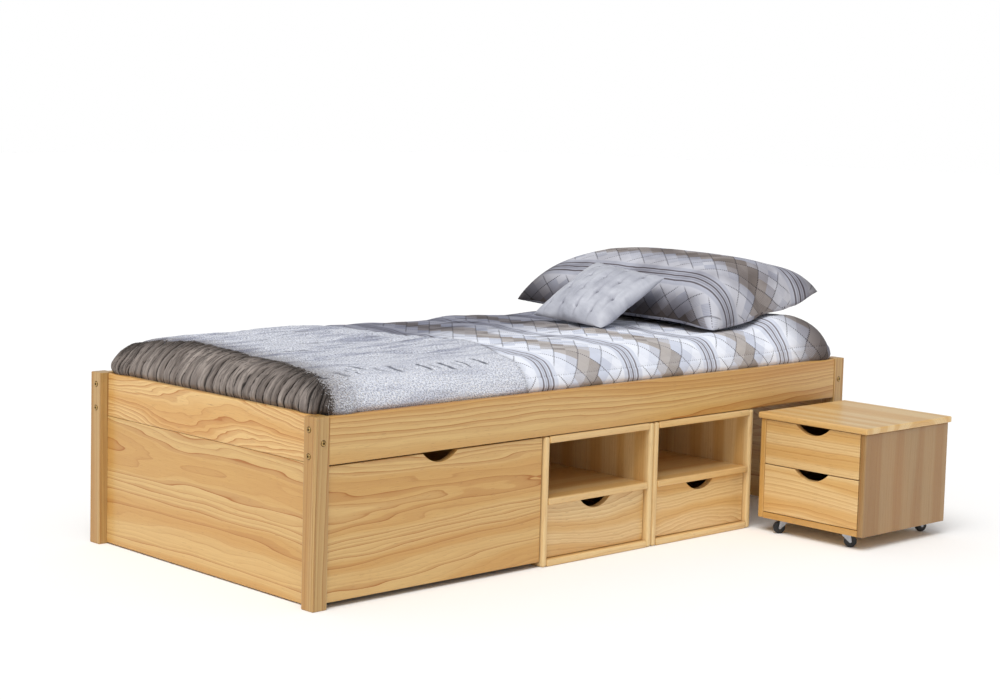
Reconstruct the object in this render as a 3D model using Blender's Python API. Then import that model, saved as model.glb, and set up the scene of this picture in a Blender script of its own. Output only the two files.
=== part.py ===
"""Single platform bed with storage: a pine frame, a big drawer on wheels, two shelf cubes with a
drawer each, a two-drawer nightstand on casters, and the bedding.

Everything is laid out in the bed's own corner frame (X from the foot to the head, Y from the front
side to the back, Z up, zero at the floor under the foot-front corner) and then moved so that the
world origin is the middle of the whole object's footprint. Metres throughout.
"""
import math

import bmesh
import bpy
from mathutils import Matrix, Vector

# ---- driving dimensions -------------------------------------------------------------------------
GAP = 0.0003                      # left between pieces that touch
BED_L, BED_W = 2.090, 0.970       # outer size over the posts
POST, POST_H = 0.045, 0.474
RAIL_Z, RAIL_TOP = 0.354, 0.472   # underside and top of the rails and of the end boards
RAIL_T = 0.022
RAIL_INSET = 0.002                # rail face behind the post face
END_T = 0.020                     # end boards, flush with the posts' inner faces
END_FOOT_Z = 0.004
BEAD = 0.0055                     # bead on each post's outer corner, between two grooves
GROOVE_R = 0.0011
BOLT_R, BOLT_SINK = 0.0048, 0.003
BOLT_END_Z = (0.442, 0.377)       # two bolts through each post into an end board
BOLT_SIDE_Z = 0.410               # one bolt through each post into a side rail

CLEAT, CLEAT_Z = 0.025, 0.365
SLATS, SLAT_W, SLAT_T = 13, 0.070, 0.018
STRAP_W, STRAP_T = 0.030, 0.002

BOARD = 0.019                     # cubes
CUBE_W, CUBE_H, CUBE_D = 0.4355, 0.352, 0.420
CUBE_X = (0.788, 1.2255)
SHELF_Z = 0.166
BACK_T = 0.004
FRONT_INSET = 0.016               # cube drawers behind the cube's front edge
FRONT_T = 0.018

BIG_X, BIG_Y = (0.0490, 0.7835), 0.008
BIG_Z = (0.015, 0.350)
BIG_DEPTH, BIG_BOX_TOP, BIG_SIDE_T = 0.800, 0.302, 0.012
BIG_WHEEL_R, BIG_WHEEL_W = 0.0225, 0.016
BIG_AXLE_R, BIG_AXLE_HOLE = 0.0040, 0.0044
BIG_WHEEL_Y = (0.110, 0.720)

CUT_W, CUT_D = 0.118, 0.026       # half-moon finger cut-out in each drawer front

STAND_X, STAND_Y = 1.650, -0.036  # nightstand: foot-side face and bed-side face
STAND_D, STAND_W = 0.402, 0.366   # along X, along Y
STAND_Z, STAND_TOP = 0.040, 0.350
STAND_T = 0.018
OVER_END, OVER_SIDE = 0.007, 0.007
SPLIT_Z = 0.200                   # between its two drawers

CASTER_R, CASTER_W = 0.0178, 0.013
CASTER_IN_X, CASTER_IN_Y = 0.027, 0.072
PIN_R, PIN_BORE = 0.0020, 0.0023
TRAIL = 0.012                     # wheel axle behind the swivel axis
CHEEK_T = 0.0015
STEM_R, STEM_HOLE = 0.0040, 0.0043
CUP_R, CUP_H = 0.0130, 0.0026

MATTRESS_X, MATTRESS_Y = (0.058, 2.032), (0.037, 0.933)
MATTRESS_Z = (0.4096, 0.545)
SPREAD_T, SPREAD_SIDE, SPREAD_LOW = 0.016, 0.009, 0.440
SPREAD_HEAD_X, SPREAD_HEAD_LIFT = 1.720, 0.030

CENTRE = Vector((BED_L / 2, (BED_W + STAND_Y - STAND_W - OVER_SIDE) / 2, 0.0))

# ---- materials ----------------------------------------------------------------------------------
LOOKS = {
    "pine_frame": ((0.72, 0.46, 0.20), 0.42, 0.0),
    "pine_front": ((0.76, 0.50, 0.23), 0.42, 0.0),
    "pine_side": ((0.70, 0.45, 0.22), 0.45, 0.0),
    "pine_inner": ((0.52, 0.34, 0.18), 0.55, 0.0),
    "hardboard": ((0.40, 0.26, 0.14), 0.60, 0.0),
    "webbing_slat": ((0.74, 0.56, 0.34), 0.60, 0.0),
    "zinc": ((0.60, 0.61, 0.62), 0.35, 1.0),
    "black_wheel": ((0.02, 0.02, 0.02), 0.50, 0.0),
    "ticking": ((0.82, 0.82, 0.80), 0.90, 0.0),
    "quilt": ((0.58, 0.57, 0.60), 0.85, 0.0),
    "pillow": ((0.50, 0.48, 0.48), 0.85, 0.0),
    "cushion": ((0.64, 0.64, 0.68), 0.75, 0.0),
}


def make_material(name):
    """A plain Principled material, one per part."""
    colour, roughness, metallic = LOOKS[name]
    material = bpy.data.materials.new(name)
    material.use_nodes = True
    shader = material.node_tree.nodes["Principled BSDF"]
    shader.inputs["Base Color"].default_value = (*colour, 1.0)
    shader.inputs["Roughness"].default_value = roughness
    shader.inputs["Metallic"].default_value = metallic
    material.diffuse_color = (*colour, 1.0)
    return material


# ---- modelling helpers --------------------------------------------------------------------------
def clear_scene():
    for old in list(bpy.data.objects):
        bpy.data.objects.remove(old, do_unlink=True)


def mesh_from(name, build):
    """A mesh filled in by build(bm)."""
    mesh = bpy.data.meshes.new(name)
    bm = bmesh.new()
    build(bm)
    bmesh.ops.recalc_face_normals(bm, faces=bm.faces)
    bm.to_mesh(mesh)
    bm.free()
    return mesh


def add(name, mesh, look, place, turn=None):
    """A named object at a place in the bed's corner frame."""
    obj = bpy.data.objects.new(name, mesh)
    bpy.context.scene.collection.objects.link(obj)
    obj.location = Vector(place) - CENTRE
    if turn:
        obj.rotation_euler = turn
    if look:
        slot = make_material(look)
        slot.name = name
        mesh.materials.clear()
        mesh.materials.append(slot)
    return obj


def as_guide(obj):
    obj.hide_render = True
    obj.display_type = "WIRE"
    return obj


def box_mesh(name, size):
    def build(bm):
        bmesh.ops.create_cube(bm, size=1.0)
        bmesh.ops.scale(bm, vec=size, verts=bm.verts)
    return mesh_from(name, build)


def rod_mesh(name, radius, length, axis="Z", sides=24):
    """A cylinder about its own centre, along X, Y or Z."""
    turns = {"X": Matrix.Rotation(math.pi / 2, 3, "Y"), "Y": Matrix.Rotation(math.pi / 2, 3, "X")}

    def build(bm):
        bmesh.ops.create_cone(
            bm, cap_ends=True, segments=sides, radius1=radius, radius2=radius, depth=length)
        if axis in turns:
            bmesh.ops.rotate(bm, cent=(0, 0, 0), matrix=turns[axis], verts=bm.verts)
    return mesh_from(name, build)


def prism_mesh(name, outline, depth, plane="XZ"):
    """An outline of (a, b) points in a plane, extruded to both sides by half the depth."""
    lift = {"XZ": lambda a, b, c: (a, c, b), "XY": lambda a, b, c: (a, b, c),
            "YZ": lambda a, b, c: (c, a, b)}[plane]

    def build(bm):
        near = [bm.verts.new(lift(a, b, -depth / 2)) for a, b in outline]
        far = [bm.verts.new(lift(a, b, depth / 2)) for a, b in outline]
        bm.faces.new(near)
        bm.faces.new(far)
        for i in range(len(outline)):
            j = (i + 1) % len(outline)
            bm.faces.new((near[i], near[j], far[j], far[i]))
    return mesh_from(name, build)


def turned_mesh(name, profile, sides, closed):
    """A profile of (radius, along) points turned about X. An open profile ends on the axis."""
    def build(bm):
        rings = []
        for radius, along in profile:
            if radius < 1e-9:
                rings.append([bm.verts.new((along, 0, 0))])
                continue
            angles = (2 * math.pi * k / sides for k in range(sides))
            rings.append([
                bm.verts.new((along, radius * math.cos(a), radius * math.sin(a))) for a in angles])
        pairs = list(zip(rings, rings[1:])) + ([(rings[-1], rings[0])] if closed else [])
        for a, b in pairs:
            for k in range(sides):
                corners = [a[k % len(a)], a[(k + 1) % sides % len(a)],
                           b[(k + 1) % sides % len(b)], b[k % len(b)]]
                bm.faces.new(list(dict.fromkeys(corners)))
    return mesh_from(name, build)


def bevel(obj, width, segments=2, angle=40):
    modifier = obj.modifiers.new("rounded edges", "BEVEL")
    modifier.width = width
    modifier.segments = segments
    modifier.limit_method = "ANGLE"
    modifier.angle_limit = math.radians(angle)
    modifier.use_clamp_overlap = True
    return obj


def combine(obj, tool, operation="DIFFERENCE"):
    """Cuts with a guide object, or joins it on."""
    modifier = obj.modifiers.new(operation.lower(), "BOOLEAN")
    modifier.operation = operation
    modifier.solver = "EXACT"
    modifier.object = as_guide(tool)
    return obj


def board(name, look, low, high, radius=0.0015, finish=True):
    """A plank between two corners, its origin in its middle, with rounded edges."""
    low, high = Vector(low), Vector(high)
    obj = add(name, box_mesh(name, high - low), look, (low + high) / 2)
    return bevel(obj, radius) if finish else obj


def smooth(obj):
    obj.data.shade_smooth()
    obj.data.set_sharp_from_angle(angle=math.radians(35))
    return obj


def settled_mesh(name, obj):
    """The mesh that an object's modifiers make, so that several objects can share it."""
    graph = bpy.context.evaluated_depsgraph_get()
    mesh = bpy.data.meshes.new_from_object(obj.evaluated_get(graph))
    mesh.name = name
    helpers = [m.object for m in obj.modifiers if m.type == "BOOLEAN"]
    for used in [obj, *helpers]:
        bpy.data.objects.remove(used, do_unlink=True)
    return mesh


# ---- bed frame ----------------------------------------------------------------------------------
def bolt_recess(name, place, axis):
    return add(name, rod_mesh(name, BOLT_R, 2 * BOLT_SINK, axis, 16), None, place)


def post(name, at_head, at_back):
    """A square post: beaded on its outer corner, with sunk seats for three bolt heads."""
    x0, x1 = (BED_L - POST, BED_L) if at_head else (0.0, POST)
    y0, y1 = (BED_W - POST, BED_W) if at_back else (0.0, POST)
    obj = board(name, "pine_frame", (x0, y0, 0), (x1, y1, POST_H), 0.0025)
    outer_x, in_x = (x1, -1) if at_head else (x0, 1)
    outer_y, in_y = (y1, -1) if at_back else (y0, 1)
    grooves = [(outer_x, outer_y + in_y * BEAD), (outer_x + in_x * BEAD, outer_y)]
    for i, (x, y) in enumerate(grooves):
        tool = rod_mesh(f"{name}_groove_{i}", GROOVE_R, POST_H + 0.02, "Z", 10)
        combine(obj, add(tool.name, tool, None, (x, y, POST_H / 2)))
    mid_y = (y0 + y1) / 2 + in_y * 0.003
    for i, z in enumerate(BOLT_END_Z):
        combine(obj, bolt_recess(f"{name}_seat_{i}", (outer_x, mid_y, z), "X"))
    mid_x = (x0 + x1) / 2 + in_x * 0.002
    combine(obj, bolt_recess(f"{name}_seat_side", (mid_x, outer_y, BOLT_SIDE_Z), "Y"))
    return obj


def bed_frame():
    for at_head, end in ((False, "foot"), (True, "head")):
        for at_back, side in ((False, "front"), (True, "back")):
            post(f"post_{end}_{side}", at_head, at_back)
        x0 = BED_L - POST if at_head else POST - END_T
        y0, y1 = POST + GAP, BED_W - POST - GAP
        board(f"{end}_rail", "pine_front", (x0, y0, RAIL_Z), (x0 + END_T, y1, RAIL_TOP), 0.003)
        board(f"{end}_panel", "pine_front", (x0, y0, END_FOOT_Z), (x0 + END_T, y1, RAIL_Z - GAP), 0.001)
    x0, x1 = POST + GAP, BED_L - POST - GAP
    for side, y0 in (("front", RAIL_INSET), ("back", BED_W - RAIL_INSET - RAIL_T)):
        board(f"side_rail_{side}", "pine_front", (x0, y0, RAIL_Z), (x1, y0 + RAIL_T, RAIL_TOP), 0.003)
    for side, y0 in (("front", RAIL_INSET + RAIL_T + GAP),
                     ("back", BED_W - RAIL_INSET - RAIL_T - GAP - CLEAT)):
        board(f"slat_cleat_{side}", "pine_inner", (x0 + 0.015, y0, CLEAT_Z),
              (x1 - 0.015, y0 + CLEAT, CLEAT_Z + CLEAT))


def slat_roll():
    """Slats on two webbing straps, in one piece as it unrolls onto the cleats."""
    z0 = CLEAT_Z + CLEAT + GAP
    y_in = RAIL_INSET + RAIL_T + 0.002
    first, last = POST + 0.020 + SLAT_W / 2, BED_L - POST - 0.020 - SLAT_W / 2
    length = BED_W - 2 * y_in
    roll = add("slat_roll", box_mesh("slat_roll", (last - first + SLAT_W, STRAP_W, STRAP_T)),
               "webbing_slat", ((first + last) / 2, BED_W * 0.28, z0 + SLAT_T))
    far = box_mesh("strap_far", (last - first + SLAT_W, STRAP_W, STRAP_T))
    combine(roll, add("strap_far", far, None, ((first + last) / 2, BED_W * 0.72, z0 + SLAT_T)), "UNION")
    for i in range(SLATS):
        x = first + (last - first) * i / (SLATS - 1)
        slat = add(f"slat_{i:02d}", box_mesh("slat", (SLAT_W, length, SLAT_T)), None,
                   (x, BED_W / 2, z0 + SLAT_T / 2))
        combine(roll, slat, "UNION")
    return roll


# ---- drawers ------------------------------------------------------------------------------------
def cut_radius():
    return CUT_W ** 2 / (8 * CUT_D) + CUT_D / 2


def finger_cut(obj, name, place, axis):
    """A half-moon taken out of a drawer front's top edge; place is that edge's middle."""
    radius = cut_radius()
    tool = rod_mesh(f"{name}_cut", radius, 0.060, axis, 96)
    x, y, z = place
    combine(obj, add(tool.name, tool, None, (x, y, z + radius - CUT_D)))
    return bevel(obj, 0.0012, 2, 50)


def drawer_box(name, low, high, wall=0.012, floor=0.005):
    """A tray with four walls, its open top up, its bottom let in above their lower edges."""
    low, high = Vector(low), Vector(high)
    size = high - low
    obj = add(name, box_mesh(name, size), "pine_inner", (low + high) / 2)
    inner = Vector((size.x - 2 * wall, size.y - 2 * wall, size.z))
    tool = add(f"{name}_inside", box_mesh(f"{name}_inside", inner), None,
               (low + high) / 2 + Vector((0, 0, floor + 0.006)))
    combine(obj, tool)
    recess = Vector((size.x - 2 * wall, size.y - 2 * wall, 0.012))
    under = add(f"{name}_under", box_mesh(f"{name}_under", recess), None,
                ((low.x + high.x) / 2, (low.y + high.y) / 2, low.z))
    combine(obj, under)
    return bevel(obj, 0.0012, 1, 60)


def cube(number, x0):
    """An open cube: shelf compartment above, drawer below."""
    x1, name = x0 + CUBE_W, f"cube_{number}"
    inner0, inner1 = x0 + BOARD + GAP, x1 - BOARD - GAP
    back = CUBE_D - BACK_T - GAP
    for side, xa in (("left", x0), ("right", x1 - BOARD)):
        board(f"{name}_{side}", "pine_side", (xa, 0, 0), (xa + BOARD, back, CUBE_H), 0.0065)
    levels = (("bottom", 0.0), ("shelf", SHELF_Z), ("top", CUBE_H - BOARD))
    for level, z in levels:
        board(f"{name}_{level}", "pine_side", (inner0, 0, z), (inner1, back, z + BOARD), 0.004)
    board(f"{name}_back", "hardboard", (x0, back + GAP, 0), (x1, CUBE_D, CUBE_H), 0.0005)
    y0 = FRONT_INSET
    front = board(f"{name}_drawer_front", "pine_front", (inner0 + 0.0015, y0, BOARD + 0.0015),
                  (inner1 - 0.0015, y0 + FRONT_T, SHELF_Z - 0.003), finish=False)
    finger_cut(front, front.name, ((x0 + x1) / 2, y0, SHELF_Z - 0.003), "Y")
    drawer_box(f"{name}_drawer_box", (inner0 + 0.003, y0 + FRONT_T + GAP, BOARD + 0.001),
               (inner1 - 0.003, back - 0.012, 0.128))


def big_wheel(name, x_side, y, outward):
    """A wheel in one piece with its axle, which runs in the drawer side."""
    half, r = BIG_WHEEL_W / 2, BIG_WHEEL_R
    reach = half + 0.001 + BIG_SIDE_T
    profile = [(0, -half), (0.006, -half), (0.007, -half + 0.002), (r - 0.005, -half + 0.002),
               (r - 0.003, -half), (r - 0.001, -half + 0.0005), (r, -half + 0.002),
               (r, half - 0.002), (r - 0.001, half - 0.0005), (r - 0.003, half), (BIG_AXLE_R, half),
               (BIG_AXLE_R, reach - 0.0005), (BIG_AXLE_R - 0.0005, reach), (0, reach)]
    mesh = turned_mesh(name, [(radius, outward * along) for radius, along in profile], 32, False)
    place = (x_side - outward * (half + 0.001), y, r)
    return smooth(add(name, mesh, "black_wheel", place))


def big_drawer():
    x0, x1 = BIG_X
    y0, y1 = BIG_Y + FRONT_T + GAP, BIG_DEPTH
    front = board("big_drawer_front", "pine_front", (x0, BIG_Y, BIG_Z[0]),
                  (x1, BIG_Y + FRONT_T, BIG_Z[1]), finish=False)
    finger_cut(front, front.name, ((x0 + x1) / 2, BIG_Y, BIG_Z[1]), "Y")
    side_x = {"left": x0 + 0.010, "right": x1 - 0.010 - BIG_SIDE_T}
    for side, xa in side_x.items():
        panel = board(f"big_drawer_{side}", "pine_inner", (xa, y0, 0.012),
                      (xa + BIG_SIDE_T, y1, BIG_BOX_TOP), 0.001)
        for i, y in enumerate(BIG_WHEEL_Y):
            hole = rod_mesh(f"axle_hole_{side}_{i}", BIG_AXLE_HOLE, 0.04, "X", 20)
            place = (xa + BIG_SIDE_T / 2, y, BIG_WHEEL_R)
            combine(panel, add(hole.name, hole, None, place))
    xa, xb = side_x["left"] + BIG_SIDE_T + GAP, side_x["right"] - GAP
    board("big_drawer_back", "pine_inner", (xa, y1 - BIG_SIDE_T, 0.058), (xb, y1, BIG_BOX_TOP), 0.001)
    board("big_drawer_bottom", "hardboard", (xa, y0, 0.051), (xb, y1, 0.0575), 0.0005)
    for i, y in enumerate(BIG_WHEEL_Y):
        depth = "front" if i == 0 else "back"
        big_wheel(f"big_wheel_left_{depth}", side_x["left"] + BIG_SIDE_T, y, -1)
        big_wheel(f"big_wheel_right_{depth}", side_x["right"], y, 1)


# ---- nightstand ---------------------------------------------------------------------------------
def caster_places():
    """Swivel axes under the nightstand's corners, named by the end and side they are at."""
    xs = {"foot": STAND_X + CASTER_IN_X, "head": STAND_X + STAND_D - CASTER_IN_X}
    ys = {"bedside": STAND_Y - CASTER_IN_Y, "outer": STAND_Y - STAND_W + CASTER_IN_Y}
    return {f"{end}_{side}": (x, y) for end, x in xs.items() for side, y in ys.items()}


def caster_turns():
    """Each caster rests at its own angle, as the last push left it."""
    return dict(zip(caster_places(), (math.radians(a) for a in (150, -55, 65, -20))))


def fork_mesh():
    """A pressed fork about its swivel axis: cup, two cheeks, axle pin and stem."""
    z_cup = STAND_Z - GAP - CUP_H / 2
    inner = CASTER_W / 2 + 0.0008
    fork = bevel(add("fork", rod_mesh("fork", CUP_R, CUP_H, "Z", 28), None, (0, 0, z_cup)), 0.0008, 1)
    arc = [(TRAIL + 0.0042 * math.cos(a), CASTER_R + 0.0042 * math.sin(a))
           for a in (math.radians(d) for d in range(-150, 31, 30))]
    outline = arc + [(0.0125, z_cup), (-0.0120, z_cup), (-0.0110, z_cup - 0.0045)]
    for i, side in enumerate((-1, 1)):
        cheek = prism_mesh(f"cheek_{i}", outline, CHEEK_T, "XZ")
        combine(fork, add(cheek.name, cheek, None, (0, side * (inner + CHEEK_T / 2), 0)), "UNION")
    pin = rod_mesh("pin", PIN_R, 2 * (inner + CHEEK_T + 0.001), "Y", 16)
    combine(fork, add("pin", pin, None, (TRAIL, 0, CASTER_R)), "UNION")
    stem = rod_mesh("stem", STEM_R, 0.016, "Z", 16)
    combine(fork, add("stem", stem, None, (0, 0, z_cup + 0.006)), "UNION")
    bpy.context.view_layer.update()
    mesh = settled_mesh("caster_fork", fork)
    mesh.transform(Matrix.Translation(Vector((0, 0, z_cup))))
    return mesh


def wheel_mesh():
    """A small solid wheel with a bore for the pin, turned about X and then laid about Y."""
    half, r = CASTER_W / 2, CASTER_R
    profile = [(PIN_BORE, -half), (0.005, -half), (0.0055, -half + 0.001), (r - 0.0035, -half + 0.001),
               (r - 0.003, -half + 0.0002), (r - 0.0012, -half + 0.0006), (r, -half + 0.0024),
               (r, half - 0.0024), (r - 0.0012, half - 0.0006), (r - 0.003, half - 0.0002),
               (r - 0.0035, half - 0.001), (0.0055, half - 0.001), (0.005, half), (PIN_BORE, half)]
    mesh = turned_mesh("caster_wheel", profile, 32, True)
    mesh.transform(Matrix.Rotation(math.pi / 2, 4, "Z"))
    return mesh


def casters():
    fork, wheel = fork_mesh(), wheel_mesh()
    for place, (x, y) in caster_places().items():
        turn = caster_turns()[place]
        frame = bpy.data.objects.new(f"swivel_{place}", None)
        bpy.context.scene.collection.objects.link(frame)
        frame.location = Vector((x, y, 0)) - CENTRE
        frame.rotation_euler = (0, 0, turn)
        holder = add(f"caster_fork_{place}", fork.copy(), "zinc", (0, 0, 0))
        roller = add(f"caster_wheel_{place}", wheel.copy(), "black_wheel", (0, 0, 0))
        for piece, local in ((holder, (0, 0, 0)), (roller, (TRAIL, 0, CASTER_R))):
            piece.parent = frame
            piece.location = local
            smooth(piece)


def stand_drawer(level, z0, z1, box_top):
    """A drawer that opens towards the foot of the bed."""
    x0 = STAND_X
    ya, yb = STAND_Y - STAND_W + STAND_T, STAND_Y - STAND_T
    front = board(f"stand_front_{level}", "pine_front", (x0, ya + 0.0015, z0),
                  (x0 + FRONT_T, yb - 0.0015, z1), finish=False)
    finger_cut(front, front.name, (x0, (ya + yb) / 2, z1), "X")
    drawer_box(f"stand_box_{level}", (x0 + FRONT_T + GAP, ya + 0.003, z0 + 0.0015),
               (x0 + STAND_D - 0.022, yb - 0.003, box_top))


def nightstand():
    x0, x1 = STAND_X, STAND_X + STAND_D
    ya, yb = STAND_Y - STAND_W, STAND_Y
    top0 = STAND_TOP - STAND_T
    board("stand_top", "pine_side", (x0 - OVER_END, ya - OVER_SIDE, top0),
          (x1 + OVER_END, yb + OVER_SIDE, STAND_TOP), 0.004)
    for side, y in (("bedside", yb - STAND_T), ("outer", ya)):
        board(f"stand_side_{side}", "pine_side", (x0, y, STAND_Z), (x1, y + STAND_T, top0 - GAP), 0.003)
    inner0, inner1 = ya + STAND_T + GAP, yb - STAND_T - GAP
    bottom = board("stand_bottom", "pine_side", (x0, inner0, STAND_Z),
                   (x1 - 0.007, inner1, STAND_Z + STAND_T), 0.002)
    for place, (x, y) in caster_places().items():
        hole = rod_mesh(f"stem_hole_{place}", STEM_HOLE, 0.030, "Z", 20)
        combine(bottom, add(hole.name, hole, None, (x, y, STAND_Z - 0.001)))
    board("stand_back", "hardboard", (x1 - 0.006, inner0, STAND_Z), (x1 - 0.001, inner1, top0 - GAP), 0.0005)
    board("stand_divider", "hardboard", (x0 + FRONT_T + 0.002, inner0, SPLIT_Z - 0.002),
          (x1 - 0.007, inner1, SPLIT_Z + 0.002), 0.0005)
    stand_drawer("lower", STAND_Z + STAND_T + 0.002, SPLIT_Z - 0.001, 0.172)
    stand_drawer("upper", SPLIT_Z + 0.0015, top0 - 0.002, 0.300)
    casters()


# ---- bedding ------------------------------------------------------------------------------------
def spread_outline():
    """The bedspread's long section: level over the bed, a little higher over the head end."""
    x0, x1 = MATTRESS_X[0] - SPREAD_SIDE - GAP, MATTRESS_X[1] + SPREAD_SIDE + GAP
    top = MATTRESS_Z[1] + SPREAD_T
    lift = top + SPREAD_HEAD_LIFT
    return [(x0, SPREAD_LOW), (x1, SPREAD_LOW), (x1, lift - 0.010), (x1 - 0.060, lift),
            (SPREAD_HEAD_X + 0.12, lift), (SPREAD_HEAD_X, top), (x0, top)]


def bedding():
    x0, x1 = MATTRESS_X
    y0, y1 = MATTRESS_Y
    z0, z1 = MATTRESS_Z
    soft_edge = 0.016
    mattress = board("mattress", "ticking", (x0, y0, z0), (x1, y1, z1), finish=False)
    bevel(mattress, soft_edge, 3)
    depth = y1 - y0 + 2 * (SPREAD_SIDE + GAP)
    spread = add("bedspread", prism_mesh("bedspread", spread_outline(), depth, "XZ"), "quilt",
                 (0, (y0 + y1) / 2, 0))
    bevel(spread, 0.020, 3, 60)
    inner = (x1 - x0 + 2 * GAP, y1 - y0 + 2 * GAP, z1 + GAP - SPREAD_LOW + 0.10)
    tool = add("under_spread", box_mesh("under_spread", inner), None,
               ((x0 + x1) / 2, (y0 + y1) / 2, z1 + GAP - inner[2] / 2))
    combine(spread, tool)
    pillow_like("pillow", "pillow", (0.490, 0.790, 0.180), (1.838, 0.512, 0.6180), (0, -7, -1), 0.87)
    pillow_like("cushion", "cushion", (0.290, 0.290, 0.100), (1.445, 0.4315, 0.6560), (4.9, -30.6, -5.4), 0.5)


def pillow_like(name, look, size, place, turn_deg, over_seam):
    """A plump closed pad, thin at its seams. over_seam is the share of its thickness above them."""
    steps = 8

    def build(bm):
        bmesh.ops.create_grid(bm, x_segments=steps, y_segments=steps, size=0.5)
        faces = bmesh.ops.extrude_face_region(bm, geom=bm.faces[:])["geom"]
        upper = {v for v in faces if isinstance(v, bmesh.types.BMVert)}
        for vert in bm.verts:
            u, v = 2 * vert.co.x, 2 * vert.co.y
            plump = 0.06 + 0.94 * ((1 - abs(u) ** 3) * (1 - abs(v) ** 3)) ** 0.6
            pinch = 1 - 0.05 * (u * v) ** 2
            depth = over_seam if vert in upper else over_seam - 1
            vert.co = (u / 2 * size[0] * pinch, v / 2 * size[1] * pinch, plump * size[2] * depth)
    turn = tuple(math.radians(a) for a in turn_deg)
    return smooth(add(name, mesh_from(name, build), look, place, turn))


def main():
    clear_scene()
    bed_frame()
    slat_roll()
    for number, x0 in enumerate(CUBE_X, start=1):
        cube(number, x0)
    big_drawer()
    nightstand()
    bedding()


main()
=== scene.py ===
import math
import random

import bmesh
import bpy
import numpy as np
from mathutils import Euler, Matrix, Vector


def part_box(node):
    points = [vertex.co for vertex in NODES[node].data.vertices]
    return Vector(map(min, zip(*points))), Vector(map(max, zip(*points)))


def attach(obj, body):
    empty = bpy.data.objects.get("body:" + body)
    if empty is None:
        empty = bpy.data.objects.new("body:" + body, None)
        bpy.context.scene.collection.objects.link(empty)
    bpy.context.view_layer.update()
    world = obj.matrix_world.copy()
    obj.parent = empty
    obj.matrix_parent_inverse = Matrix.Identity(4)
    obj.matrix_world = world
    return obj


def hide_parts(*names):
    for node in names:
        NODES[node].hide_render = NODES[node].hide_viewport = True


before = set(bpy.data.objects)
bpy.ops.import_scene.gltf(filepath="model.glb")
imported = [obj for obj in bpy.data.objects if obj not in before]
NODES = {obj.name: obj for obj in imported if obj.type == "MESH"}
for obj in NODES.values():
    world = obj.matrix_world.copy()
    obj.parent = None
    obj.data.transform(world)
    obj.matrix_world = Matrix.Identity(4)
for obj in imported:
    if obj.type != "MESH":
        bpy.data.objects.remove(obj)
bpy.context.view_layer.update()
SPREAD_LO, SPREAD_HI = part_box("bedspread")
MATTRESS_LO, MATTRESS_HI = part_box("mattress")


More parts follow.
